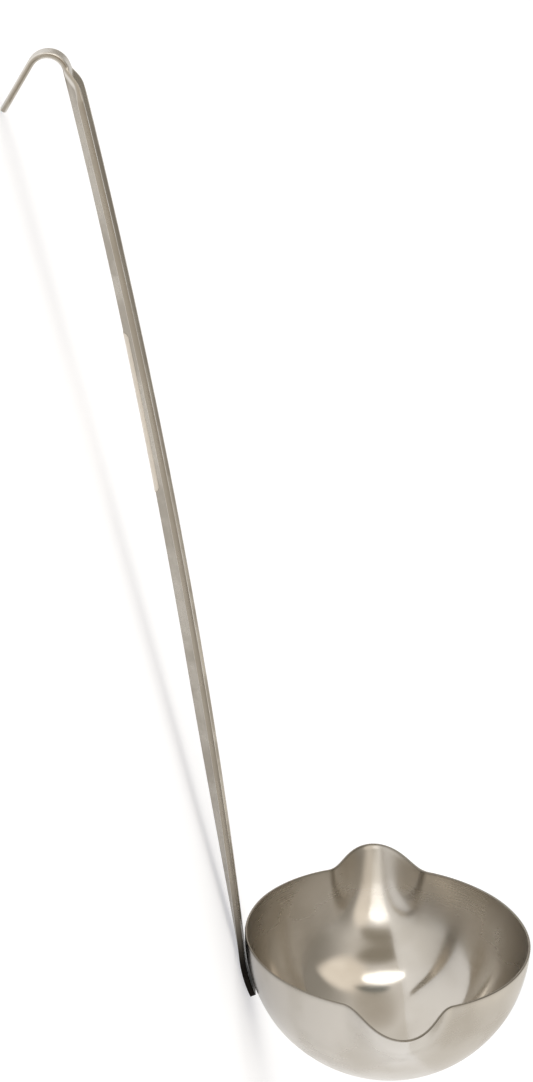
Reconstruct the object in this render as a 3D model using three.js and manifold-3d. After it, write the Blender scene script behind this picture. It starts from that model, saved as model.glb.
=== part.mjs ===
// Canning ladle: a pressed bowl with two pouring lips, and a stamped strip handle that ends in a hook.
// Millimetres, +Z up. It lies on the back of its handle, on the hook's tip and the heel, as on a table.
import * as THREE from "three";
import { mergeVertices } from "three/addons/utils/BufferGeometryUtils.js";
import Module from "manifold-3d";

const wasm = await Module();
wasm.setup();

// Bowl: a half sphere of thin sheet, drawn out to a lip on each side of the handle.
const bowlRadius = 50; // outside, at the rim
const bowlWall = 0.8;
const lipReach = 18; // from the round rim out to a lip's tip
const lipHalfAngle = 22; // degrees from a lip's middle to where it meets the round rim
const lipDrop = 30; // below the rim, where a lip has died away into the bowl
const lipEase = 0.45; // share of that drop over which a lip grows out of the wall, and it is straight above

// Handle: one strip, from the heel welded to the bowl up to the hook.
const handleSheet = 2;
const heelAngle = 25.5; // degrees below the rim, where the strip ends on the bowl's side
const leaveAngle = 8; // degrees below the rim, where the strip leaves the bowl
const handleRun = 309.7; // from the bowl to the crown of the hook
const handleBow = 2650; // radius of the slight outward curve along the run
const heelWidth = 14;
const heelCorner = 1.2; // radius of the heel's two corners
const heelFlat = 13; // flat middle of the heel's back, and its sides are bent in round the bowl
const shoulderWidth = 19;
const shoulderRun = 11; // length over which the shoulders draw in to the hook
const shoulderBelow = 9.5; // how much of that lies below the hook's bend

// Rib: the middle of the strip is pressed outward, and its flat web carries on as the hook.
const ribHeight = 3.1; // at its deepest, above the fade
const ribTop = 2.2; // at the shoulders, where its web turns into the hook
const ribWallShare = 0.28; // each sloping side, as a share of half the strip's width
const ribFade = 110; // length over which the rib rises, above the bowl

// Hook
const hookWidth = 10;
const crownRadius = 5; // inside the bend
const hookTurn = 135.5; // degrees
const hookLeg = 17.4; // straight end after the bend

// Spot welds that hold the heel to the bowl
const weldDiameter = 4.6;
const weldShares = [0.28, 0.76]; // their middles along the heel, from its end
const weldDimple = 0.2; // how far a weld lies below the strip's back

// Fits
const touchGap = 0.3; // between pieces that touch
const degree = Math.PI / 180;
const heelRadius = bowlRadius + touchGap; // the strip's inner face, round the bowl's centre
const heelLength = heelRadius * (heelAngle - leaveAngle) * degree;
const runEnd = heelLength + handleRun;
const shoulderStart = runEnd - shoulderBelow;
const bendRadius = crownRadius + handleSheet + ribTop; // of the face that the strip is measured from
const bendLength = bendRadius * hookTurn * degree;
const handleLength = runEnd + bendLength + hookLeg;
const webShare = hookWidth / shoulderWidth;

const steel = new THREE.MeshStandardMaterial({ color: 0xb8b1a8, roughness: 0.22, metalness: 1 });
const brushed = new THREE.MeshStandardMaterial({ color: 0xa9a39a, roughness: 0.34, metalness: 1 });
const fused = new THREE.MeshStandardMaterial({ color: 0x8f8a84, roughness: 0.45, metalness: 1 });

// 0 before start, 1 after end, with a soft rise between.
function softStep(value, start, end) {
  const part = THREE.MathUtils.clamp((value - start) / (end - start), 0, 1);
  return (1 - Math.cos(Math.PI * part)) / 2;
}

// A closed geometry from points and triangles.
function closedGeometry(points, triangles) {
  const geometry = new THREE.BufferGeometry();
  const coordinates = points.flatMap((point) => point.toArray());
  geometry.setAttribute("position", new THREE.Float32BufferAttribute(coordinates, 3));
  geometry.setIndex(triangles);
  return geometry;
}

function namedMesh(name, geometry, material) {
  const mesh = new THREE.Mesh(geometry, material);
  mesh.name = name;
  return mesh;
}

// How far a lip has come out at a height, from 0 in the wall to 1 at the rim.
function lipGrowth(height) {
  const up = Math.max(0, 1 + height / lipDrop);
  const eased = Math.min(up, lipEase);
  const grown = eased / 2 - (lipEase / (2 * Math.PI)) * Math.sin((Math.PI * eased) / lipEase);
  return (grown + up - eased) / (1 - lipEase / 2);
}

// The bowl's outside at a bearing round its axis and an angle up from its bottom, both in radians.
function bowlPoint(bearing, rise) {
  const height = -bowlRadius * Math.cos(rise);
  const offLip = Math.acos(Math.abs(Math.sin(bearing))) / degree;
  const across = 1 - softStep(offLip, 0, lipHalfAngle);
  const radius = bowlRadius * Math.sin(rise) + lipReach * across * lipGrowth(height);
  return new THREE.Vector3(radius * Math.cos(bearing), radius * Math.sin(bearing), height);
}

// The way out of the sheet at a point of the bowl, from its slopes along and up the wall.
function bowlNormal(bearing, rise) {
  const step = 1e-3;
  const along = bowlPoint(bearing + step, rise).sub(bowlPoint(bearing - step, rise));
  const up = bowlPoint(bearing, rise + step).sub(bowlPoint(bearing, rise - step));
  return along.cross(up).normalize();
}

// One column of the bowl has points from the bottom to the rim outside, and back down inside.
function makeBowl() {
  const columns = 96;
  const rows = 17;
  const lipCrowding = 0.5; // columns stand closer together at the lips
  const points = [];
  for (let column = 0; column < columns; column++) {
    const even = (2 * Math.PI * column) / columns;
    const bearing = even + (lipCrowding * Math.sin(2 * even)) / 2;
    const inside = [];
    for (let row = 1; row <= rows; row++) {
      const rise = ((Math.PI / 2) * row) / rows;
      const outer = bowlPoint(bearing, rise);
      const normal = bowlNormal(bearing, rise);
      if (row === rows) {
        normal.z = 0; // the rim is cut level
        normal.divideScalar(normal.lengthSq());
      }
      points.push(outer);
      inside.push(outer.clone().addScaledVector(normal, -bowlWall));
    }
    points.push(...inside.reverse());
  }
  const outerPole = points.push(new THREE.Vector3(0, 0, -bowlRadius)) - 1;
  const innerPole = points.push(new THREE.Vector3(0, 0, bowlWall - bowlRadius)) - 1;
  const triangles = [];
  for (let column = 0; column < columns; column++) {
    const here = column * rows * 2;
    const next = ((column + 1) % columns) * rows * 2;
    for (let row = 0; row < rows * 2 - 1; row++) {
      triangles.push(here + row, next + row, next + row + 1);
      triangles.push(here + row, next + row + 1, here + row + 1);
    }
    triangles.push(outerPole, next, here);
    triangles.push(innerPole, here + rows * 2 - 1, next + rows * 2 - 1);
  }
  return namedMesh("bowl", closedGeometry(points, triangles), steel);
}

// A place on the strip: x out from the bowl's axis, z up, and how far the strip leans outward there.
function followArc(from, radius, length) {
  const lean = from.lean + length / radius;
  const x = from.x + radius * (Math.cos(lean) - Math.cos(from.lean));
  const z = from.z + radius * (Math.sin(lean) - Math.sin(from.lean));
  return { x, z, lean };
}

const heelEnd = {
  x: -heelRadius * Math.cos(heelAngle * degree),
  z: -heelRadius * Math.sin(heelAngle * degree),
  lean: heelAngle * degree,
};

// The strip's inner face along its length, measured from the end of the heel.
function stripPlace(length) {
  if (length <= heelLength) return followArc(heelEnd, -heelRadius, length);
  const leaving = followArc(heelEnd, -heelRadius, heelLength);
  if (length <= runEnd) return followArc(leaving, handleBow, length - heelLength);
  const crown = followArc(leaving, handleBow, handleRun);
  if (length <= runEnd + bendLength) return followArc(crown, bendRadius, length - runEnd);
  const legStart = followArc(crown, bendRadius, bendLength);
  const along = length - runEnd - bendLength;
  const x = legStart.x - along * Math.sin(legStart.lean);
  const z = legStart.z + along * Math.cos(legStart.lean);
  return { x, z, lean: legStart.lean };
}

// A point of the strip, across from its middle and out from its inner face.
function stripPoint(place, across, out) {
  const x = place.x - out * Math.cos(place.lean);
  const z = place.z - out * Math.sin(place.lean);
  return new THREE.Vector3(x, across, z);
}

// Half of the width that the strip would have without its shoulders and round ends.
function plainHalfWidth(length) {
  return THREE.MathUtils.lerp(heelWidth, shoulderWidth, Math.min(1, length / shoulderStart)) / 2;
}

// Half of the strip's width: round heel corners, the long taper, the shoulders, the hook and its round tip.
function halfWidth(length) {
  const shoulder = length - shoulderStart;
  const fromTip = handleLength - length;
  if (length < heelCorner) {
    return plainHalfWidth(length) - heelCorner + Math.sqrt(heelCorner ** 2 - (heelCorner - length) ** 2);
  }
  if (shoulder <= 0) return plainHalfWidth(length);
  if (shoulder < shoulderRun) {
    return THREE.MathUtils.lerp(shoulderWidth, hookWidth, shoulder / shoulderRun) / 2;
  }
  const round = hookWidth / 2;
  return fromTip < round ? Math.max(round / 8, Math.sqrt(round ** 2 - (round - fromTip) ** 2)) : round;
}

// Where the rib's flat web ends, across from the strip's middle.
function webEdge(length) {
  return plainHalfWidth(length) * webShare;
}

// How deep the rib is along the strip: it rises out of the heel and is shallower again at the shoulders.
function ribDepth(length) {
  const deepest = heelLength + ribFade;
  const share = THREE.MathUtils.clamp((length - heelLength) / ribFade, 0, 1);
  const risen = Math.sin((Math.PI / 2) * share);
  return risen * THREE.MathUtils.lerp(ribHeight, ribTop, softStep(length, deepest, runEnd));
}

// How far the rib lifts the strip at a distance across from its middle.
function ribLift(length, across) {
  const wallFoot = webEdge(length) + plainHalfWidth(length) * ribWallShare;
  return ribDepth(length) * (1 - softStep(Math.abs(across), webEdge(length), wallFoot));
}

// How far the heel's two sides are bent in, round the bowl.
function heelWrap(length, across) {
  const fallAway = (distance) => heelRadius - Math.sqrt(heelRadius ** 2 - distance ** 2);
  const beyondFlat = fallAway(Math.max(Math.abs(across), heelFlat / 2)) - fallAway(heelFlat / 2);
  return beyondFlat * (1 - softStep(length, heelLength, heelLength + ribFade));
}

// Lengths of the cross sections, closer together where the strip bends or its width changes.
function stripStations() {
  const stretches = [
    { to: heelCorner, steps: 5 },
    { to: heelLength, steps: 5 },
    { to: heelLength + ribFade, steps: 10 },
    { to: shoulderStart, steps: 10 },
    { to: runEnd, steps: 8 },
    { to: runEnd + bendLength, steps: 15 },
    { to: handleLength - hookWidth / 2, steps: 3 },
    { to: handleLength, steps: 6 },
  ];
  const stations = [0];
  for (const { to, steps } of stretches) {
    const from = stations[stations.length - 1];
    for (let step = 1; step <= steps; step++) stations.push(THREE.MathUtils.lerp(from, to, step / steps));
  }
  return stations;
}

// The strip is lofted through its cross sections: the back of the sheet, then its inner face.
function makeStrip() {
  const wallSteps = 4;
  const shares = [-1];
  for (let step = wallSteps; step >= 0; step--) shares.push(-webShare - (ribWallShare * step) / wallSteps);
  shares.push(...shares.map((share) => -share).reverse());
  const count = shares.length;
  const points = [];
  const triangles = [];
  const stations = stripStations();
  for (const length of stations) {
    const place = stripPlace(length);
    const half = halfWidth(length);
    const inner = [];
    const back = [];
    for (const share of shares) {
      const across = share * half;
      const out = ribLift(length, across) - heelWrap(length, across);
      inner.push(stripPoint(place, across, out));
      back.push(stripPoint(place, across, out + handleSheet));
    }
    points.push(...inner, ...back.reverse());
  }
  const ring = count * 2;
  for (let station = 0; station < stations.length - 1; station++) {
    for (let corner = 0; corner < ring; corner++) {
      const here = station * ring + corner;
      const beside = station * ring + ((corner + 1) % ring);
      triangles.push(here, beside, beside + ring);
      triangles.push(here, beside + ring, here + ring);
    }
  }
  const last = (stations.length - 1) * ring;
  for (let corner = 0; corner < count - 1; corner++) {
    const across = ring - 1 - corner;
    triangles.push(corner, across, across - 1);
    triangles.push(corner, across - 1, corner + 1);
    triangles.push(last + corner, last + across - 1, last + across);
    triangles.push(last + corner, last + corner + 1, last + across - 1);
  }
  return closedGeometry(points, triangles);
}

// A round plug through the strip at a length along it, from inner face to back.
function makePlug(length, diameter, from, to) {
  const place = stripPlace(length);
  const plug = new THREE.CylinderGeometry(diameter / 2, diameter / 2, to - from, 32);
  plug.translate(0, (from + to) / 2, 0);
  plug.rotateZ(Math.PI / 2); // its axis now points away from the bowl
  plug.rotateY(-place.lean);
  plug.translate(place.x, 0, place.z);
  return plug;
}

function toSolid(geometry) {
  const bare = new THREE.BufferGeometry();
  bare.setAttribute("position", geometry.attributes.position);
  bare.setIndex(geometry.index);
  const merged = mergeVertices(bare, 1e-4);
  const vertProperties = merged.attributes.position.array;
  const triVerts = new Uint32Array(merged.index.array);
  return new wasm.Manifold(new wasm.Mesh({ numProp: 3, vertProperties, triVerts }));
}

function toGeometry(solid) {
  const mesh = solid.getMesh();
  const geometry = new THREE.BufferGeometry();
  geometry.setAttribute("position", new THREE.BufferAttribute(mesh.vertProperties, 3));
  geometry.setIndex(new THREE.BufferAttribute(mesh.triVerts, 1));
  return geometry;
}

const welds = ["lower_spot_weld", "upper_spot_weld"].map((name, place) => {
  return { name, length: heelLength * weldShares[place] };
});

function makeHandle() {
  let solid = toSolid(makeStrip());
  for (const weld of welds) {
    const hole = makePlug(weld.length, weldDiameter + 2 * touchGap, -handleSheet, 2 * handleSheet);
    solid = solid.subtract(toSolid(hole));
  }
  return namedMesh("handle", toGeometry(solid), brushed);
}

function makeWeld(weld) {
  const nugget = makePlug(weld.length, weldDiameter, 0, handleSheet - weldDimple);
  return namedMesh(weld.name, nugget, fused);
}

// The angle of the table under the ladle: it passes the hook's tip and touches the back of the heel.
function restAngle() {
  const tip = stripPoint(stripPlace(handleLength), 0, ribTop);
  const heelBack = heelRadius + handleSheet;
  const tipDistance = Math.hypot(tip.x, tip.z);
  return Math.atan2(tip.z, tip.x) + Math.acos(heelBack / tipDistance) - Math.PI;
}

const ladle = new THREE.Group();
ladle.name = "ladle";
ladle.add(makeBowl(), makeHandle(), ...welds.map(makeWeld));
ladle.rotation.y = restAngle() - Math.PI / 2;

const part = new THREE.Group();
part.add(ladle);
part.updateMatrixWorld(true);
const extent = new THREE.Box3().setFromObject(ladle, true);
const middle = extent.getCenter(new THREE.Vector3());
ladle.position.set(-middle.x, -middle.y, -extent.min.z);

export default part;
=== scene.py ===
import math
import bpy
from mathutils import Matrix, Vector


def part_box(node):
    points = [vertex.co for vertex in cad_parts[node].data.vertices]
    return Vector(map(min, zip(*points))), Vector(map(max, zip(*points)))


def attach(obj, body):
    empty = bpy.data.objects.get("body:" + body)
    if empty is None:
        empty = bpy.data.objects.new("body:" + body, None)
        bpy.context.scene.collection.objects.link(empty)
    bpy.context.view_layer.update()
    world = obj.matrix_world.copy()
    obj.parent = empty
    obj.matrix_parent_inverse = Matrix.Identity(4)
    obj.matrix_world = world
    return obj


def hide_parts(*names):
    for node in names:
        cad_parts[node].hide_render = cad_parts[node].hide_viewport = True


# Canning ladle lying on a white table: a satin bowl with two pouring lips, and a ribbed handle with a hook
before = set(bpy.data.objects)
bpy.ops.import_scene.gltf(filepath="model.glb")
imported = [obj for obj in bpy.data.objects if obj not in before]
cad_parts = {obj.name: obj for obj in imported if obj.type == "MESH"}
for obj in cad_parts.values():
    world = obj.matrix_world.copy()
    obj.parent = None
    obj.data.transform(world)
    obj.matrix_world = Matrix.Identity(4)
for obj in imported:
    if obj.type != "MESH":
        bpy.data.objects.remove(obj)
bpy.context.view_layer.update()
scene = bpy.context.scene
scene.view_settings.view_transform = "Standard"
mm = 0.001
print("frame loaded:", ", ".join(sorted(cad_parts)))


def hexToLinear(code, level=1):
    parts = [int(code[i:i + 2], 16) / 255 for i in (1, 3, 5)]
    linear = [p / 12.92 if p <= 0.04045 else ((p + 0.055) / 1.055) ** 2.4 for p in parts]
    return tuple(p * level for p in linear) + (1.0,)


def lerp(a, b, part):
    return a + (b - a) * part


# rises from 0 to 1 between start and end
def softStep(value, start, end):
    part = min(1, max(0, (value - start) / (end - start)))
    return (1 - math.cos(math.pi * part)) / 2


# even stops after start, up to end
def spread(start, end, steps):
    return [lerp(start, end, i / steps) for i in range(1, steps + 1)]


# angles over a rounded edge, from 0 to 90 degrees
def quarterTurn(steps):
    return [math.pi / 2 * i / steps for i in range(steps + 1)]


# adds one node, sets its sockets and properties, and links what feeds it
def addNode(tree, kind, sockets=None, links=None, **settings):
    node = tree.nodes.new(kind)
    for key, value in settings.items():
        setattr(node, key, value)
    for key, value in (sockets or {}).items():
        node.inputs[key].default_value = value
    for key, source in (links or {}).items():
        tree.links.new(source, node.inputs[key])
    return node


# sockets of a Mix node: its factor, those for colours, and those for plain numbers
mixFactor = 0
mixA, mixB, mixed = 6, 7, 2
plainA, plainB = 2, 3


def newMaterial(name):
    material = bpy.data.materials.new(name)
    material.use_nodes = True
    material.node_tree.nodes.clear()
    return material, material.node_tree


# uvs hold one pair for each face corner, marks one number for each point
def meshPiece(name, points, faces, material, place, uvs=None, marks=None):
    mesh = bpy.data.meshes.new(name)
    mesh.from_pydata(points, [], faces)
    if uvs:
        layer = mesh.uv_layers.new(name="along")
        layer.data.foreach_set("uv", [part for pair in uvs for part in pair])
    for mark, values in (marks or {}).items():
        mesh.attributes.new(mark, "FLOAT", "POINT").data.foreach_set("value", values)
    mesh.polygons.foreach_set("use_smooth", [True] * len(mesh.polygons))
    mesh.materials.append(material)
    mesh.transform(place)
    mesh.update()
    piece = bpy.data.objects.new(name, mesh)
    scene.collection.objects.link(piece)
    return piece


# Shapes are in mm, with z along the bowl's axis up from the level of the rim, and the handle at minus x
bowlSet = {
    "radius": 50,
    "wall": 0.8,
    "lipReach": 18,
    "lipHalfAngle": 22,  # degrees
    "lipDrop": 30,
    "lipEase": 0.45,  # share of the drop in which a lip sets in
    "rimRound": 0.3,
    "rimSteps": 4,
    "wave": 24,  # slow waves that the drawing press leaves in the sheet, always inwards
    "waveHeight": 0.26,
    "waves": 5,
    "waveTurns": (2.4, 1.7, 1.9),  # radians from one wave to the next: bearing, tilt and phase
    "columns": 288,
    "crowding": 0.25,  # columns stand closer together at the lips
    "rows": 72,
    "steel": "#cac5bd",
    "dull": "#bdb7ad",
    "cut": "#8d877d",
    "cutFade": (3, 6),  # points away from the middle of the rim
    "insideFade": (-2, 2),  # points over the rim, from outside to inside
    "ringWidth": 0.7,  # real polishing lines are near 0.05 mm, and are drawn coarser so that they show
    "ringRun": 45,
    "ringRough": 0.05,
    "smudge": 24,
    "scratchWidth": 0.9,  # real scratches are under 0.1 mm, and are drawn coarser as well
    "scratchSlant": 0.6,
    "scratchRough": 0.1,
    "scratchDepth": 0.2,  # next to the height of the rings
    "outsideRough": (0.2, 0.27),  # clean and smudged
    "bottomRough": (0.07, 0.12),
    "wallRough": (0.25, 0.33),
    "polished": (46, 72),  # mm up the inside, where the polished bottom goes over to the brushed wall
    "bump": 0.0025,
}


# Stainless sheet, drawn to a bowl and satin polished as it spins: the eye sees soft mirror images, stretched
# across fine rings, with hazy finger smudges, a few thin scratches and a rim that is darker along its edge
def makeBowlSteel():
    material, tree = newMaterial("satin_spun_stainless")
    spot = addNode(tree, "ShaderNodeTexCoord")
    xyz = addNode(tree, "ShaderNodeSeparateXYZ", links={0: spot.outputs["Object"]})
    section = addNode(tree, "ShaderNodeAttribute", attribute_name="sectionMm")
    sideways = []
    for part in (1, 2):
        scaled = addNode(tree, "ShaderNodeMath", {1: 1 / (bowlSet["ringRun"] * mm)}, {0: xyz.outputs[part]},
                         operation="MULTIPLY")
        sideways.append(scaled.outputs[0])
    step = addNode(tree, "ShaderNodeMath", {1: 1 / bowlSet["ringWidth"]}, {0: section.outputs["Fac"]},
                   operation="MULTIPLY")
    ringSpot = addNode(tree, "ShaderNodeCombineXYZ",
                       links={0: sideways[0], 1: sideways[1], 2: step.outputs[0]})
    rings = addNode(tree, "ShaderNodeTexNoise", {"Scale": 1.0, "Detail": 1.5, "Roughness": 0.5},
                    {"Vector": ringSpot.outputs[0]})
    smudge = addNode(tree, "ShaderNodeTexNoise",
                     {"Scale": 1 / (bowlSet["smudge"] * mm), "Detail": 2.5, "Roughness": 0.5},
                     {"Vector": spot.outputs["Object"]})
    hazy = addNode(tree, "ShaderNodeMapRange", {"From Min": 0.4, "From Max": 0.7},
                   {"Value": smudge.outputs["Fac"]}, interpolation_type="SMOOTHSTEP")
    slanted = addNode(tree, "ShaderNodeMath", {1: bowlSet["scratchSlant"] / mm},
                      {0: xyz.outputs[1], 2: section.outputs["Fac"]}, operation="MULTIPLY_ADD")
    crossing = addNode(tree, "ShaderNodeMath", {1: 1 / bowlSet["scratchWidth"]}, {0: slanted.outputs[0]},
                       operation="MULTIPLY")
    scratchSpot = addNode(tree, "ShaderNodeCombineXYZ",
                          links={0: sideways[1], 1: sideways[0], 2: crossing.outputs[0]})
    lines = addNode(tree, "ShaderNodeTexNoise", {"Scale": 1.0, "Detail": 2.0},
                    {"Vector": scratchSpot.outputs[0]})
    scratch = addNode(tree, "ShaderNodeMapRange", {"From Min": 0.74, "From Max": 0.82},
                      {"Value": lines.outputs["Fac"]})
    rimCut = addNode(tree, "ShaderNodeAttribute", attribute_name="rimCut")
    tone = addNode(tree, "ShaderNodeMix",
                   {mixA: hexToLinear(bowlSet["steel"]), mixB: hexToLinear(bowlSet["dull"])},
                   {mixFactor: hazy.outputs[0]}, data_type="RGBA")
    colour = addNode(tree, "ShaderNodeMix", {mixB: hexToLinear(bowlSet["cut"])},
                     {mixFactor: rimCut.outputs["Fac"], mixA: tone.outputs[mixed]}, data_type="RGBA")
    zones = []
    for zone in ("outsideRough", "bottomRough", "wallRough"):
        clean, smudged = bowlSet[zone]
        satin = addNode(tree, "ShaderNodeMapRange", {"To Min": clean, "To Max": smudged},
                        {"Value": hazy.outputs[0]})
        zones.append(satin.outputs[0])
    low, high = bowlSet["polished"]  # the section is negative on the inside
    brushed = addNode(tree, "ShaderNodeMapRange", {"From Min": -low, "From Max": -high},
                      {"Value": section.outputs["Fac"]}, interpolation_type="SMOOTHSTEP")
    within = addNode(tree, "ShaderNodeMix", {},
                     {mixFactor: brushed.outputs[0], plainA: zones[1], plainB: zones[2]}, data_type="FLOAT")
    inside = addNode(tree, "ShaderNodeAttribute", attribute_name="inside")
    haze = addNode(tree, "ShaderNodeMix", {},
                   {mixFactor: inside.outputs["Fac"], plainA: zones[0], plainB: within.outputs[0]},
                   data_type="FLOAT")
    ringed = addNode(tree, "ShaderNodeMath", {1: bowlSet["ringRough"]},
                     {0: rings.outputs["Fac"], 2: haze.outputs[0]}, operation="MULTIPLY_ADD")
    rough = addNode(tree, "ShaderNodeMath", {1: bowlSet["scratchRough"]},
                    {0: scratch.outputs[0], 2: ringed.outputs[0]}, operation="MULTIPLY_ADD")
    height = addNode(tree, "ShaderNodeMath", {1: -bowlSet["scratchDepth"]},
                     {0: scratch.outputs[0], 2: rings.outputs["Fac"]}, operation="MULTIPLY_ADD")
    bump = addNode(tree, "ShaderNodeBump", {"Strength": 1.0, "Distance": bowlSet["bump"] * mm},
                   {"Height": height.outputs[0]})
    tangent = addNode(tree, "ShaderNodeTangent", direction_type="UV_MAP", uv_map="along")
    shader = addNode(tree, "ShaderNodeBsdfPrincipled",
                     {"Metallic": 1.0, "Anisotropic": 0.4, "Anisotropic Rotation": 0.25},
                     {"Base Color": colour.outputs[mixed], "Roughness": rough.outputs[0],
                      "Normal": bump.outputs[0], "Tangent": tangent.outputs[0]})
    addNode(tree, "ShaderNodeOutputMaterial", links={"Surface": shader.outputs[0]})
    return material


# how far a lip has come out of the wall at a height below the rim
def lipGrowth(height):
    ease = bowlSet["lipEase"]
    up = max(0, 1 + height / bowlSet["lipDrop"])
    eased = min(up, ease)
    grown = eased / 2 - ease / (2 * math.pi) * math.sin(math.pi * eased / ease)
    return (grown + up - eased) / (1 - ease / 2)


def bowlPoint(bearing, rise):
    height = -bowlSet["radius"] * math.cos(rise)
    offLip = math.degrees(math.acos(min(1, abs(math.sin(bearing)))))
    across = 1 - softStep(offLip, 0, bowlSet["lipHalfAngle"])
    reach = bowlSet["radius"] * math.sin(rise) + bowlSet["lipReach"] * across * lipGrowth(height)
    return Vector((reach * math.cos(bearing), reach * math.sin(bearing), height))


def bowlNormal(bearing, rise):
    step = 1e-3
    along = bowlPoint(bearing + step, rise) - bowlPoint(bearing - step, rise)
    up = bowlPoint(bearing, rise + step) - bowlPoint(bearing, rise - step)
    return along.cross(up).normalized()


# a few waves run through the sheet in different directions
def sheetWave(point):
    turn, tilt, phase = bowlSet["waveTurns"]
    waves = bowlSet["waves"]
    total = 0
    for i in range(waves):
        way = Vector((math.cos(turn * i), math.sin(turn * i), math.cos(tilt * i))).normalized()
        total += math.sin(2 * math.pi * way.dot(point) / bowlSet["wave"] + phase * i)
    return -bowlSet["waveHeight"] * (1 + total / waves) / 2


# one column runs from the bottom up the outside, over the rim and down the inside
def bowlColumn(bearing):
    wall, rows = bowlSet["wall"], bowlSet["rows"]
    outer, inner = [], []
    for r in range(1, rows):
        rise = math.pi / 2 * r / rows
        place, normal = bowlPoint(bearing, rise), bowlNormal(bearing, rise)
        place += normal * sheetWave(place)
        outer.append(place)
        inner.append(place - normal * wall)
    # the rim is cut level and its two edges are rounded
    rim, normal = bowlPoint(bearing, math.pi / 2), bowlNormal(bearing, math.pi / 2)
    level = Vector((normal.x, normal.y, 0))
    level /= level.length_squared
    rim += level * sheetWave(rim)
    for turn in quarterTurn(bowlSet["rimSteps"]):
        drop = Vector((0, 0, -bowlSet["rimRound"] * (1 - math.sin(turn))))
        inset = bowlSet["rimRound"] * (1 - math.cos(turn))
        outer.append(rim - level * inset + drop)
        inner.append(rim - level * (wall - inset) + drop)
    return outer + inner[::-1]


def makeBowl(place):
    radius, columns = bowlSet["radius"], bowlSet["columns"]
    points, faces, uvs, sections, cuts, within = [], [], [], [], [], []
    for c in range(columns):
        even = 2 * math.pi * c / columns
        column = bowlColumn(even + bowlSet["crowding"] * math.sin(2 * even))
        points += column
        ring = len(column)
        for i, point in enumerate(column):
            rise = math.acos(max(-1, min(1, -point.z / radius)))
            fromRim = i - (ring - 1) / 2
            sections.append(rise * radius * (1 if i < ring / 2 else -1))
            cuts.append(1 - softStep(abs(fromRim), *bowlSet["cutFade"]))
            within.append(softStep(fromRim, *bowlSet["insideFade"]))

    def uvAt(c, i):
        return c / columns, i / ring

    for c in range(columns):
        here, beside = c * ring, (c + 1) % columns * ring
        for i in range(ring - 1):
            faces.append((here + i, beside + i, beside + i + 1, here + i + 1))
            uvs += [uvAt(c, i), uvAt(c + 1, i), uvAt(c + 1, i + 1), uvAt(c, i + 1)]
        # fans close the bottom, outside and inside
        faces.append((len(points), beside, here))
        uvs += [uvAt(c + 0.5, -1), uvAt(c + 1, 0), uvAt(c, 0)]
        faces.append((len(points) + 1, here + ring - 1, beside + ring - 1))
        uvs += [uvAt(c + 0.5, ring), uvAt(c, ring - 1), uvAt(c + 1, ring - 1)]
    points += [Vector((0, 0, -radius)), Vector((0, 0, bowlSet["wall"] - radius))]
    marks = {"sectionMm": sections + [0, 0], "rimCut": cuts + [0, 0], "inside": within + [0, 1]}
    piece = meshPiece("ladle_bowl", points, faces, makeBowlSteel(), place, uvs, marks)
    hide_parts("bowl")
    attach(piece, "root")


handleSet = {
    "sheet": 2,
    "seatGap": 0.3,  # between the heel and the bowl
    "heelAngle": math.radians(25.5),
    "leaveAngle": math.radians(8),
    "run": 309.7,
    "bow": 2650,  # radius of the slight curve along the run
    "heelWidth": 14,
    "heelCorner": 1.2,
    "heelFlat": 13,
    "shoulderWidth": 19,
    "shoulderRun": 11,
    "shoulderBelow": 9.5,
    "ribHeight": 3.1,
    "ribTop": 2.2,
    "ribWallShare": 0.28,
    "ribFade": 110,
    "hookWidth": 10,
    "crownRadius": 5,
    "hookTurn": math.radians(135.5),
    "hookLeg": 17.4,
    "tipFlat": 0.125,  # share of the hook's width that stays at its very tip
    "edgeRound": 0.2,  # sheared edges along the run
    "hookRound": 0.85,  # the hook is tumbled smooth
    "tumbled": (-1, 3),  # mm from the start of the shoulders, where one goes over to the other
    "endInset": 0.9,  # share of the rounding that the two ends take
    "acrossSteps": 44,
    "endSteps": 4,
    "roundSteps": 5,
    "steel": "#c4bfb6",
    "dull": "#aca69c",
    "rubbed": "#dcd8d1",
    "sheared": "#a69e91",
    # painted shade: a near-black colour laid on the heel's edges and inner face where the heel meets the bowl
    "paintedShadeColour": "#171412",
    "paintedShade": 0.98,
    "paintedShadeFade": (-4, 45),  # mm from where the heel leaves the bowl
    "paintedShadeDepth": 0.5,  # mm of the sheet's inner side
    "paintedShadeSides": 3,  # full on the cut sides from a third of the way into their corners
    "brushWidth": 0.5,  # real brush lines are near 0.03 mm, and are drawn coarser so that they show
    "brushRun": 26,
    "brushRough": 0.12,
    "brushShare": 0.5,
    "smudge": 17,
    "roughness": (0.2, 0.32),
    "bump": 0.008,
}
heelRadius = bowlSet["radius"] + handleSet["seatGap"]
heelLength = heelRadius * (handleSet["heelAngle"] - handleSet["leaveAngle"])
runEnd = heelLength + handleSet["run"]
shoulderStart = runEnd - handleSet["shoulderBelow"]
bendRadius = handleSet["crownRadius"] + handleSet["sheet"] + handleSet["ribTop"]
bendLength = bendRadius * handleSet["hookTurn"]
handleLength = runEnd + bendLength + handleSet["hookLeg"]
webShare = handleSet["hookWidth"] / handleSet["shoulderWidth"]


def followArc(start, radius, length):
    x, z, lean = start
    turned = lean + length / radius
    x += radius * (math.cos(turned) - math.cos(lean))
    z += radius * (math.sin(turned) - math.sin(lean))
    return x, z, turned


heelLean = handleSet["heelAngle"]
heelEnd = (-heelRadius * math.cos(heelLean), -heelRadius * math.sin(heelLean), heelLean)
leaving = followArc(heelEnd, -heelRadius, heelLength)
crown = followArc(leaving, handleSet["bow"], handleSet["run"])
legStart = followArc(crown, bendRadius, bendLength)


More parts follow.
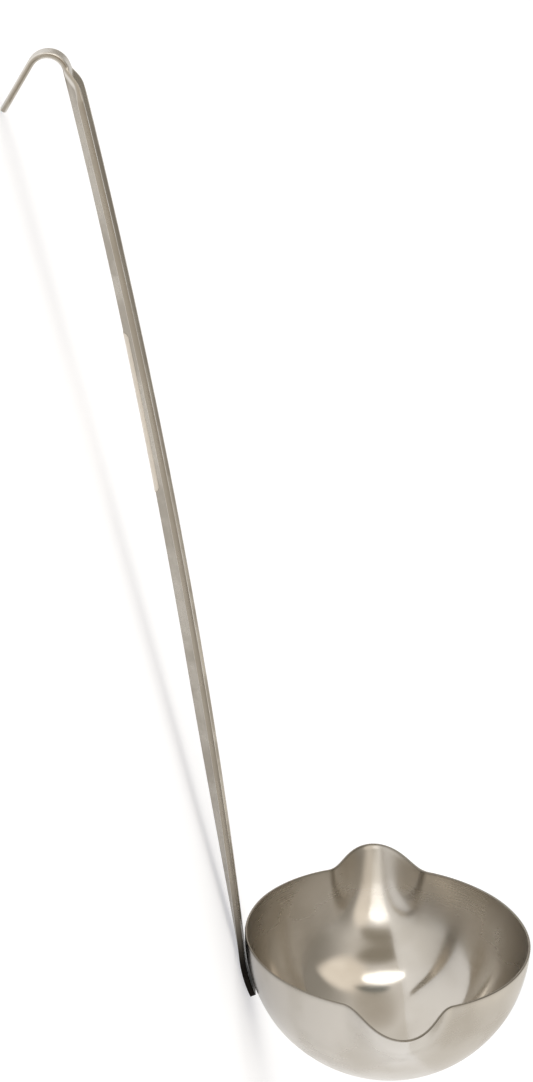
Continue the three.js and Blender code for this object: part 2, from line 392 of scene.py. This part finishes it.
# where the strip's inner face is at a length from the heel's end, and how far it leans out there
def stripPlace(length):
    if length <= heelLength:
        return followArc(heelEnd, -heelRadius, length)
    if length <= runEnd:
        return followArc(leaving, handleSet["bow"], length - heelLength)
    if length <= runEnd + bendLength:
        return followArc(crown, bendRadius, length - runEnd)
    x, z, lean = legStart
    along = length - runEnd - bendLength
    return x - along * math.sin(lean), z + along * math.cos(lean), lean


def stripPoint(length, across, out):
    x, z, lean = stripPlace(length)
    return Vector((x - out * math.cos(lean), across, z - out * math.sin(lean)))


def plainHalfWidth(length):
    return lerp(handleSet["heelWidth"], handleSet["shoulderWidth"], min(1, length / shoulderStart)) / 2


def halfWidth(length):
    corner, tip = handleSet["heelCorner"], handleSet["hookWidth"] / 2
    shoulder = length - shoulderStart
    left = handleLength - length
    if length < corner:
        return plainHalfWidth(length) - corner + math.sqrt(max(0, corner ** 2 - (corner - length) ** 2))
    if shoulder <= 0:
        return plainHalfWidth(length)
    if shoulder < handleSet["shoulderRun"]:
        part = shoulder / handleSet["shoulderRun"]
        return lerp(handleSet["shoulderWidth"], handleSet["hookWidth"], part) / 2
    if left >= tip:
        return tip
    return max(tip * handleSet["tipFlat"], math.sqrt(max(0, tip ** 2 - (tip - left) ** 2)))


def webEdge(length):
    return plainHalfWidth(length) * webShare


def ribDepth(length):
    deepest = heelLength + handleSet["ribFade"]
    risen = math.sin(math.pi / 2 * min(1, max(0, (length - heelLength) / handleSet["ribFade"])))
    return risen * lerp(handleSet["ribHeight"], handleSet["ribTop"], softStep(length, deepest, runEnd))


# the pressed rib: flat web, sloping walls, flanges
def ribLift(length, across):
    edge = webEdge(length)
    foot = edge + plainHalfWidth(length) * handleSet["ribWallShare"]
    return ribDepth(length) * (1 - softStep(abs(across), edge, foot))


# the heel's sides are bent in round the bowl
def heelWrap(length, across):
    flat = handleSet["heelFlat"] / 2
    wide = max(abs(across), flat)
    beyond = math.sqrt(heelRadius ** 2 - flat ** 2) - math.sqrt(heelRadius ** 2 - wide ** 2)
    return beyond * (1 - softStep(length, heelLength, heelLength + handleSet["ribFade"]))


# Rolled and stamped stainless strip, brushed along its length: the eye sees long soft streaks, dull patches
# from handling, a darker torn edge where it was cut, bright lines on the corners and painted shade darkening
# the heel to black
def makeHandleSteel():
    material, tree = newMaterial("brushed_stamped_stainless")
    spot = addNode(tree, "ShaderNodeTexCoord")
    lengthways = addNode(tree, "ShaderNodeUVMap", uv_map="along")
    brushSpot = addNode(tree, "ShaderNodeMapping",
                        {"Scale": (1 / handleSet["brushRun"], 1 / handleSet["brushWidth"], 1.0)},
                        {"Vector": lengthways.outputs[0]})
    brush = addNode(tree, "ShaderNodeTexNoise", {"Scale": 1.0, "Detail": 4.0, "Roughness": 0.6},
                    {"Vector": brushSpot.outputs[0]})
    smudge = addNode(tree, "ShaderNodeTexNoise",
                     {"Scale": 1 / (handleSet["smudge"] * mm), "Detail": 5.0, "Roughness": 0.6},
                     {"Vector": spot.outputs["Object"]})
    hazy = addNode(tree, "ShaderNodeMapRange", {"From Min": 0.4, "From Max": 0.68},
                   {"Value": smudge.outputs["Fac"]}, interpolation_type="SMOOTHSTEP")
    cut = addNode(tree, "ShaderNodeAttribute", attribute_name="cutEdge")
    torn = addNode(tree, "ShaderNodeMapRange", {"From Min": 0.75, "From Max": 0.98},
                   {"Value": cut.outputs["Fac"]})
    corner = addNode(tree, "ShaderNodeMapRange", {"From Min": 0.05, "From Max": 0.5},
                     {"Value": cut.outputs["Fac"]})
    # mask of the painted shade on the heel
    paintedShade = addNode(tree, "ShaderNodeAttribute", attribute_name="heelPaintedShade")
    streaked = addNode(tree, "ShaderNodeMath", {1: handleSet["brushShare"]},
                       {0: brush.outputs["Fac"], 2: hazy.outputs[0]},
                       operation="MULTIPLY_ADD", use_clamp=True)
    colour = addNode(tree, "ShaderNodeMix",
                     {mixA: hexToLinear(handleSet["steel"]), mixB: hexToLinear(handleSet["dull"])},
                     {mixFactor: streaked.outputs[0]}, data_type="RGBA")
    overlays = {"rubbed": corner.outputs[0], "sheared": torn.outputs[0], "paintedShadeColour": paintedShade.outputs["Fac"]}
    for tone, share in overlays.items():
        colour = addNode(tree, "ShaderNodeMix", {mixB: hexToLinear(handleSet[tone])},
                         {mixFactor: share, mixA: colour.outputs[mixed]}, data_type="RGBA")
    clean, smudged = handleSet["roughness"]
    haze = addNode(tree, "ShaderNodeMapRange", {"To Min": clean, "To Max": smudged},
                   {"Value": hazy.outputs[0]})
    rough = addNode(tree, "ShaderNodeMath", {1: handleSet["brushRough"]},
                    {0: brush.outputs["Fac"], 2: haze.outputs[0]}, operation="MULTIPLY_ADD")
    bump = addNode(tree, "ShaderNodeBump", {"Strength": 1.0, "Distance": handleSet["bump"] * mm},
                   {"Height": brush.outputs["Fac"]})
    tangent = addNode(tree, "ShaderNodeTangent", direction_type="UV_MAP", uv_map="along")
    shader = addNode(tree, "ShaderNodeBsdfPrincipled",
                     {"Metallic": 1.0, "Anisotropic": 0.5, "Anisotropic Rotation": 0.25},
                     {"Base Color": colour.outputs[mixed], "Roughness": rough.outputs[0],
                      "Normal": bump.outputs[0], "Tangent": tangent.outputs[0]})
    addNode(tree, "ShaderNodeOutputMaterial", links={"Surface": shader.outputs[0]})
    return material


# a rectangle with rounded corners: across, out from the inner face, and 1 on the cut edge
def stripSection(half, low, high, corner):
    corner = min(corner, (high - low) / 2, half)
    flat = [corner - half] + spread(corner - half, half - corner, handleSet["acrossSteps"])
    right = []
    for turn in quarterTurn(handleSet["roundSteps"])[1:]:
        across = half - corner + corner * math.sin(turn)
        right.append((across, low + corner - corner * math.cos(turn), math.sin(turn)))
    top = [(a, high + low - b, c) for a, b, c in right[::-1]] + [(half - corner, high, 0)]
    left = [(-a, b, c) for a, b, c in (right + top)[::-1]]
    return [(a, low, 0) for a in flat] + right + top + [(a, high, 0) for a in flat[-2:0:-1]] + left


# painted shade, near black, on the heel's inner face and its cut sides where it meets the bowl, fading up the
# handle
def heelPaintedShade(length, level, cut):
    start, end = handleSet["paintedShadeFade"]
    shadeFalloff = 1 - softStep(length, heelLength + start, heelLength + end)
    reached = max(min(1, handleSet["paintedShadeSides"] * cut), 1 - softStep(level, 0, handleSet["paintedShadeDepth"]))
    return handleSet["paintedShade"] * shadeFalloff ** 2 * reached


def makeHandle(place):
    edgeRound, tipRound = handleSet["edgeRound"], handleSet["hookRound"]
    stations = [edgeRound * (1 - math.cos(turn)) for turn in quarterTurn(handleSet["endSteps"])]
    # lengths along the strip, and the steps up to each
    stops = [
        (handleSet["heelCorner"], 8),
        (heelLength, 44),
        (heelLength + handleSet["ribFade"], 40),
        (shoulderStart, 60),
        (runEnd, 30),
        (runEnd + bendLength, 44),
        (handleLength - handleSet["hookWidth"] / 2, 12),
        (handleLength - tipRound, 14),
    ]
    for stop, steps in stops:
        stations += spread(stations[-1], stop, steps)
    for turn in quarterTurn(handleSet["roundSteps"])[-2::-1]:
        stations.append(handleLength - tipRound * (1 - math.cos(turn)))
    points, faces, pairs, cuts, paintedShades = [], [], [], [], []
    smoothFrom, smoothTo = handleSet["tumbled"]
    for length in stations:
        smooth = softStep(length, shoulderStart + smoothFrom, shoulderStart + smoothTo)
        edge = lerp(edgeRound, tipRound, smooth)
        end = min(length, handleLength - length)
        inset = 0
        if end < edge:
            inset = handleSet["endInset"] * (edge - math.sqrt(edge ** 2 - (edge - end) ** 2))
        section = stripSection(halfWidth(length) - inset, inset, handleSet["sheet"] - inset, edge)
        for across, level, cut in section:
            out = ribLift(length, across) - heelWrap(length, across) + level
            out -= weldDip(length, across) * level / handleSet["sheet"]
            points.append(stripPoint(length, across, out))
            pairs.append((length, across))
            cuts.append(cut)
            paintedShades.append(heelPaintedShade(length, level, cut))
    ring = len(points) // len(stations)
    for s in range(len(stations) - 1):
        for i in range(ring):
            here, beside = s * ring + i, s * ring + (i + 1) % ring
            faces.append((here, beside, beside + ring, here + ring))
    faces.append(tuple(range(ring))[::-1])
    faces.append(tuple(range(len(points) - ring, len(points))))
    uvs = [pairs[corner] for face in faces for corner in face]
    marks = {"cutEdge": cuts, "heelPaintedShade": paintedShades}
    piece = meshPiece("ladle_handle", points, faces, makeHandleSteel(), place, uvs, marks)
    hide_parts("handle")
    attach(piece, "root")


weldSet = {
    "radius": 2.3,
    "shares": (0.28, 0.76),  # of the heel's length, from its end
    "dimple": 0.2,
    "dimpleSlope": 0.7,
    "nugget": 0.6,
    "face": [(0, 0.03), (0.35, 0.02), (0.6, 0), (0.72, 0.02),  # share of the radius, and mm over the dimple
             (0.82, 0.05), (0.9, 0.05), (0.97, 0.02), (1, -0.04)],
    "turns": 48,
    "steel": "#9d9890",
    "burnt": "#6f6355",
    "burntFade": (0.5, 0.95),
    "grain": 0.5,
    "grainShare": 0.35,
    "roughness": (0.34, 0.52),
    "bump": 0.03,
}


# the dished marks that the welding electrodes leave in the heel's back
def weldDip(length, across):
    dip = 0
    rim = weldSet["radius"]
    for share in weldSet["shares"]:
        off = math.hypot(length - heelLength * share, across)
        dip += weldSet["dimple"] * (1 - softStep(off, rim, rim + weldSet["dimpleSlope"]))
    return dip


# Resistance-welded nugget: the eye sees a dull pressed disc with a brown ring at its rim
def makeWeldSteel():
    material, tree = newMaterial("fused_weld_steel")
    spot = addNode(tree, "ShaderNodeTexCoord")
    grain = addNode(tree, "ShaderNodeTexNoise",
                    {"Scale": 1 / (weldSet["grain"] * mm), "Detail": 4.0, "Roughness": 0.65},
                    {"Vector": spot.outputs["Object"]})
    ring = addNode(tree, "ShaderNodeAttribute", attribute_name="burntRing")
    spotted = addNode(tree, "ShaderNodeMath", {1: weldSet["grainShare"]},
                      {0: grain.outputs["Fac"], 2: ring.outputs["Fac"]},
                      operation="MULTIPLY_ADD", use_clamp=True)
    colour = addNode(tree, "ShaderNodeMix",
                     {mixA: hexToLinear(weldSet["steel"]), mixB: hexToLinear(weldSet["burnt"])},
                     {mixFactor: spotted.outputs[0]}, data_type="RGBA")
    smooth, coarse = weldSet["roughness"]
    rough = addNode(tree, "ShaderNodeMapRange",
                    {"From Min": 0.3, "From Max": 0.7, "To Min": smooth, "To Max": coarse},
                    {"Value": grain.outputs["Fac"]})
    bump = addNode(tree, "ShaderNodeBump", {"Strength": 1.0, "Distance": weldSet["bump"] * mm},
                   {"Height": grain.outputs["Fac"]})
    shader = addNode(tree, "ShaderNodeBsdfPrincipled", {"Metallic": 1.0},
                     {"Base Color": colour.outputs[mixed], "Roughness": rough.outputs[0],
                      "Normal": bump.outputs[0]})
    addNode(tree, "ShaderNodeOutputMaterial", links={"Surface": shader.outputs[0]})
    return material


# a shallow disc: its face is pressed into a low ring with a flat middle
def makeWelds(place):
    steel = makeWeldSteel()
    face = handleSet["sheet"] - weldSet["dimple"]
    depth, turns = weldSet["nugget"], weldSet["turns"]
    profile = weldSet["face"] + [(1, -depth / 2), (0.97, -depth), (0, -depth)]
    for node, share in zip(("lower_spot_weld", "upper_spot_weld"), weldSet["shares"]):
        points, faces, rings = [], [], []
        for part, rise in profile:
            radius = weldSet["radius"] * part
            for turn in range(turns):
                angle = 2 * math.pi * turn / turns
                length = heelLength * share + radius * math.cos(angle)
                across = radius * math.sin(angle)
                points.append(stripPoint(length, across, face + rise - heelWrap(length, across)))
                rings.append(softStep(part, *weldSet["burntFade"]))
        for row in range(len(profile) - 1):
            for turn in range(turns):
                here, beside = row * turns + turn, row * turns + (turn + 1) % turns
                faces.append((here, here + turns, beside + turns, beside))
        piece = meshPiece(node.replace("spot_weld", "weld_nugget"), points, faces, steel, place,
                          marks={"burntRing": rings})
        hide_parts(node)
        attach(piece, "root")


labelSet = {
    "start": 188.5,  # along the strip from the heel's end
    "end": 242.5,
    "far": 3.9,  # across the web from its middle
    "near": 0.52,  # share of the rib's near wall that it laps over
    "thick": 0.12,
    "glue": 0.03,
    "corner": 1.6,
    "curl": 0.08,
    "curlRun": 5,
    "steps": (90, 36),
    "paper": "#f8f5f1",
    "yellowed": "#eae3d9",
    "yellowShare": 0.6,
    "yellowWidth": 1.2,
    "fibre": 0.5,  # real fibres are near 0.05 mm, and are drawn coarser so that they show
    "mottle": 7,
    "mottleShare": 0.3,
    "roughness": (0.48, 0.62),
    "bump": 0.02,
}


# Bare paper label with a thin matt coat: the eye sees warm off-white paper with faint fibres, a soft mottle,
# edges that have yellowed and one corner that has lifted
def makeLabelPaper():
    material, tree = newMaterial("coated_label_paper")
    spot = addNode(tree, "ShaderNodeTexCoord")
    fibre = addNode(tree, "ShaderNodeTexNoise",
                    {"Scale": 1 / (labelSet["fibre"] * mm), "Detail": 4.0, "Roughness": 0.7},
                    {"Vector": spot.outputs["Object"]})
    mottle = addNode(tree, "ShaderNodeTexNoise", {"Scale": 1 / (labelSet["mottle"] * mm), "Detail": 3.0},
                     {"Vector": spot.outputs["Object"]})
    edge = addNode(tree, "ShaderNodeAttribute", attribute_name="paperEdge")
    aged = addNode(tree, "ShaderNodeMath", {1: labelSet["mottleShare"]},
                   {0: mottle.outputs["Fac"], 2: edge.outputs["Fac"]},
                   operation="MULTIPLY_ADD", use_clamp=True)
    colour = addNode(tree, "ShaderNodeMix",
                     {mixA: hexToLinear(labelSet["paper"]), mixB: hexToLinear(labelSet["yellowed"])},
                     {mixFactor: aged.outputs[0]}, data_type="RGBA")
    smooth, coarse = labelSet["roughness"]
    rough = addNode(tree, "ShaderNodeMapRange",
                    {"From Min": 0.3, "From Max": 0.7, "To Min": smooth, "To Max": coarse},
                    {"Value": fibre.outputs["Fac"]})
    bump = addNode(tree, "ShaderNodeBump", {"Strength": 0.6, "Distance": labelSet["bump"] * mm},
                   {"Height": fibre.outputs["Fac"]})
    shader = addNode(tree, "ShaderNodeBsdfPrincipled", {"Specular IOR Level": 0.4},
                     {"Base Color": colour.outputs[mixed], "Roughness": rough.outputs[0],
                      "Normal": bump.outputs[0]})
    addNode(tree, "ShaderNodeOutputMaterial", links={"Surface": shader.outputs[0]})
    return material


# a thin sheet on the rib's web, folded over its near corner and part of the way down the wall
def makeLabel(place):
    start, end, corner = labelSet["start"], labelSet["end"], labelSet["corner"]
    rows, columns = labelSet["steps"]
    points, faces, edges = [], [], []
    for side in (0, 1):
        for c in range(columns + 1):
            for r in range(rows + 1):
                middle = lerp(start, end, r / rows)
                near = webEdge(middle) + plainHalfWidth(middle) * handleSet["ribWallShare"] * labelSet["near"]
                across = lerp(labelSet["far"], -near, c / columns)
                fromSide = min(labelSet["far"] - across, across + near)
                cut = max(0, corner - fromSide)
                inset = corner - math.sqrt(corner ** 2 - cut ** 2)
                length = lerp(start + inset, end - inset, r / rows)
                fromEnd = min(length - start, end - length)
                lift = labelSet["curl"] * (1 - softStep(length - start, 0, labelSet["curlRun"]))
                lift *= softStep(-across, 0, near)
                out = handleSet["sheet"] + labelSet["glue"] + lift + labelSet["thick"] * side
                points.append(stripPoint(length, across, ribLift(length, across) + out))
                inward = softStep(min(fromSide, fromEnd), 0, labelSet["yellowWidth"])
                edges.append(labelSet["yellowShare"] * (1 - inward))
    sheet = (rows + 1) * (columns + 1)
    for c in range(columns):
        for r in range(rows):
            a, b = c * (rows + 1) + r, (c + 1) * (rows + 1) + r
            faces.append((a, a + 1, b + 1, b))
            faces.append((sheet + a, sheet + b, sheet + b + 1, sheet + a + 1))
    border = [c * (rows + 1) for c in range(columns)] + [columns * (rows + 1) + r for r in range(rows)]
    border += [c * (rows + 1) + rows for c in range(columns, 0, -1)] + list(range(rows, 0, -1))
    for a, b in zip(border, border[1:] + border[:1]):
        faces.append((a, b, sheet + b, sheet + a))
    piece = meshPiece("paper_label", points, faces, makeLabelPaper(), place, marks={"paperEdge": edges})
    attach(piece, "root")


# the ladle lies on the hook's tip and the back of its heel
tip = stripPoint(handleLength, 0, handleSet["ribTop"])
heelBack = heelRadius + handleSet["sheet"]
restAngle = math.atan2(tip.z, tip.x) + math.acos(heelBack / math.hypot(tip.x, tip.z)) - math.pi
sinRest, cosRest = math.sin(restAngle), math.cos(restAngle)
leaning = Matrix(((sinRest, 0, -cosRest, 0), (0, 1, 0, 0), (cosRest, 0, sinRest, 0), (0, 0, 0, 1)))
bowlLow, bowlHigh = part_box("bowl")
bowlRadius = bowlSet["radius"] * mm
bowlCentre = Vector((bowlHigh[0] - bowlRadius, 0, bowlLow[2] + bowlRadius))
lying = Matrix.Translation(bowlCentre) @ leaning @ Matrix.Scale(mm, 4)
print("ladle lies at", round(math.degrees(restAngle), 2), "degrees")

makeBowl(lying)
print("bowl made")
makeHandle(lying)
print("handle made")
makeWelds(lying)
print("welds made")
makeLabel(lying)
print("label made")

tableSet = {
    "half": 20,  # metres
    "seen": "#d6d6d5",
    "lighting": "#efedea",  # what it throws back on the ladle
    "lift": ("#f6f8ff", 0.44),  # brings it up to white where no shadow falls
}


# White laminate: the camera and the steel's mirror images see it white, and it keeps the ladle's shadow
def makeTable():
    material, tree = newMaterial("white_table_laminate")
    path = addNode(tree, "ShaderNodeLightPath")
    mirror = addNode(tree, "ShaderNodeMath", {},
                     {0: path.outputs["Is Camera Ray"], 1: path.outputs["Is Glossy Ray"]},
                     operation="MAXIMUM")
    seen = addNode(tree, "ShaderNodeMath", {},
                   {0: mirror.outputs[0], 1: path.outputs["Is Transmission Ray"]}, operation="MAXIMUM")
    colour = addNode(tree, "ShaderNodeMix",
                     {mixA: hexToLinear(tableSet["lighting"]), mixB: hexToLinear(tableSet["seen"])},
                     {mixFactor: seen.outputs[0]}, data_type="RGBA")
    diffuse = addNode(tree, "ShaderNodeBsdfDiffuse", {}, {"Color": colour.outputs[mixed]})
    glow = addNode(tree, "ShaderNodeEmission", {"Color": hexToLinear(*tableSet["lift"])},
                   {"Strength": seen.outputs[0]})
    both = addNode(tree, "ShaderNodeAddShader", links={0: diffuse.outputs[0], 1: glow.outputs[0]})
    addNode(tree, "ShaderNodeOutputMaterial", links={"Surface": both.outputs[0]})
    half = tableSet["half"]
    corners = [(-half, -half, 0), (half, -half, 0), (half, half, 0), (-half, half, 0)]
    table = meshPiece("table", corners, [(0, 1, 2, 3)], material, Matrix())


makeTable()

# What the steel mirrors: a pale room under a dim ceiling, with soft patches by bearing (from +y towards +x)
# and height, in degrees
roomSet = {
    "walls": ("#f8f4ee", 0.98),
    "ceiling": ("#efe8dc", 0.45),
    "rise": (0.5, 0.93),  # sine of the height, where the walls go over to the ceiling
    "patches": {
        "window glow": {"bearing": -117, "height": 46, "wide": 20, "tall": 21, "soft": 0.6,
                        "colour": "#fff6ea", "level": 1.25},
        "doorway": {"bearing": -86, "height": 22, "wide": 20, "tall": 15, "soft": 0.95,
                    "colour": "#d3ccc1", "level": 1},
        "dark strip": {"bearing": -104, "height": 23, "wide": 3.2, "tall": 13, "soft": 0.6,
                       "colour": "#49534f", "level": 1},
        "curtain": {"bearing": -135, "height": 12, "wide": 8, "tall": 20, "soft": 0.6,
                    "colour": "#a8a092", "level": 1},
        "skylight": {"bearing": 95, "height": 50, "wide": 55, "tall": 14, "soft": 0.5,
                     "colour": "#fffaf2", "level": 1.05},
        "near side": {"bearing": 178, "height": 10, "wide": 34, "tall": 26, "soft": 0.5,
                      "colour": "#cabfae", "level": 1},
        "dark front": {"bearing": 149, "height": 4, "wide": 13, "tall": 9, "soft": 0.5,
                       "colour": "#1d1915", "level": 1},
        "dim corner": {"bearing": -14, "height": 15, "wide": 11, "tall": 10, "soft": 0.6,
                       "colour": "#978f83", "level": 1},
        "white behind": {"bearing": 22, "height": 2, "wide": 24, "tall": 14, "soft": 0.3,
                         "colour": "#ffffff", "level": 1.02},
    },
}


def makeRoom():
    world = bpy.data.worlds.new("room")
    scene.world = world
    world.use_nodes = True
    tree = world.node_tree
    tree.nodes.clear()
    spot = addNode(tree, "ShaderNodeTexCoord")
    xyz = addNode(tree, "ShaderNodeSeparateXYZ", links={0: spot.outputs["Generated"]})
    bearing = addNode(tree, "ShaderNodeMath", {}, {0: xyz.outputs[0], 1: xyz.outputs[1]}, operation="ARCTAN2")
    height = addNode(tree, "ShaderNodeMath", {}, {0: xyz.outputs[2]}, operation="ARCSINE")
    low, high = roomSet["rise"]
    up = addNode(tree, "ShaderNodeMapRange", {"From Min": low, "From Max": high}, {"Value": xyz.outputs[2]},
                 interpolation_type="SMOOTHSTEP")
    shown = addNode(tree, "ShaderNodeMix",
                    {mixA: hexToLinear(*roomSet["walls"]), mixB: hexToLinear(*roomSet["ceiling"])},
                    {mixFactor: up.outputs[0]}, data_type="RGBA")
    for patch in roomSet["patches"].values():
        squares = []
        for angle, middle, size in ((bearing, "bearing", "wide"), (height, "height", "tall")):
            off = addNode(tree, "ShaderNodeMath", {1: math.radians(patch[middle])}, {0: angle.outputs[0]},
                          operation="SUBTRACT")
            near = addNode(tree, "ShaderNodeMath", {1: math.pi, 2: -math.pi}, {0: off.outputs[0]},
                           operation="WRAP")
            share = addNode(tree, "ShaderNodeMath", {1: math.radians(patch[size])}, {0: near.outputs[0]},
                            operation="DIVIDE")
            square = addNode(tree, "ShaderNodeMath", {}, {0: share.outputs[0], 1: share.outputs[0]},
                             operation="MULTIPLY")
            squares.append(square.outputs[0])
        total = addNode(tree, "ShaderNodeMath", {}, {0: squares[0], 1: squares[1]}, operation="ADD")
        cover = addNode(tree, "ShaderNodeMapRange",
                        {"From Min": 1 + patch["soft"], "From Max": 1 - patch["soft"]},
                        {"Value": total.outputs[0]}, interpolation_type="SMOOTHSTEP")
        shown = addNode(tree, "ShaderNodeMix", {mixB: hexToLinear(patch["colour"], patch["level"])},
                        {mixFactor: cover.outputs[0], mixA: shown.outputs[mixed]}, data_type="RGBA")
    room = addNode(tree, "ShaderNodeBackground", {"Strength": 1.0}, {"Color": shown.outputs[mixed]})
    addNode(tree, "ShaderNodeOutputWorld", links={"Surface": room.outputs[0]})


makeRoom()

lampSet = {
    "window": {"kind": "AREA", "place": (-0.694, -0.353, 0.29), "aim": (0.136, 0, 0.29),
               "size": (0.19, 0.6), "strength": 0.62, "mirrored": True},
    "sky": {"kind": "SUN", "place": (0.88, 0.4, 0.85), "aim": (0.136, 0, 0),
            "spread": 110, "strength": 1.3, "mirrored": False},  # soft daylight
}


def makeLamps():
    for name, lamp in lampSet.items():
        data = bpy.data.lights.new(name, lamp["kind"])
        data.energy = lamp["strength"]
        if "size" in lamp:
            data.shape = "ELLIPSE"
            data.size, data.size_y = lamp["size"]
        if "spread" in lamp:
            data.angle = math.radians(lamp["spread"])
        light = bpy.data.objects.new(name, data)
        scene.collection.objects.link(light)
        light.location = lamp["place"]
        light.visible_glossy = lamp["mirrored"]
        look = Vector(lamp["aim"]) - Vector(lamp["place"])
        light.rotation_euler = look.to_track_quat("-Z", "Y").to_euler()


makeLamps()
print("table, room and lamps set")

# Camera low over the table, turned on its side
cameraSet = {
    "place": (-264.15, -687.8, 89.2),
    "right": (0.23636, -0.02395, 0.97137),
    "up": (-0.91086, 0.34262, 0.23008),
    "lens": 74.5,
    "sensor": 36,
    "clip": (0.01, 100),  # metres
}


def makeCamera():
    data = bpy.data.cameras.new("camera")
    data.lens = cameraSet["lens"]
    data.sensor_width = cameraSet["sensor"]
    data.clip_start, data.clip_end = cameraSet["clip"]
    camera = bpy.data.objects.new("camera", data)
    scene.collection.objects.link(camera)
    right = Vector(cameraSet["right"]).normalized()
    back = right.cross(Vector(cameraSet["up"])).normalized()
    turned = Matrix((right, back.cross(right), back)).transposed().to_4x4()
    camera.matrix_world = Matrix.Translation(Vector(cameraSet["place"]) * mm) @ turned
    scene.camera = camera


makeCamera()
print("camera set")

print("done")
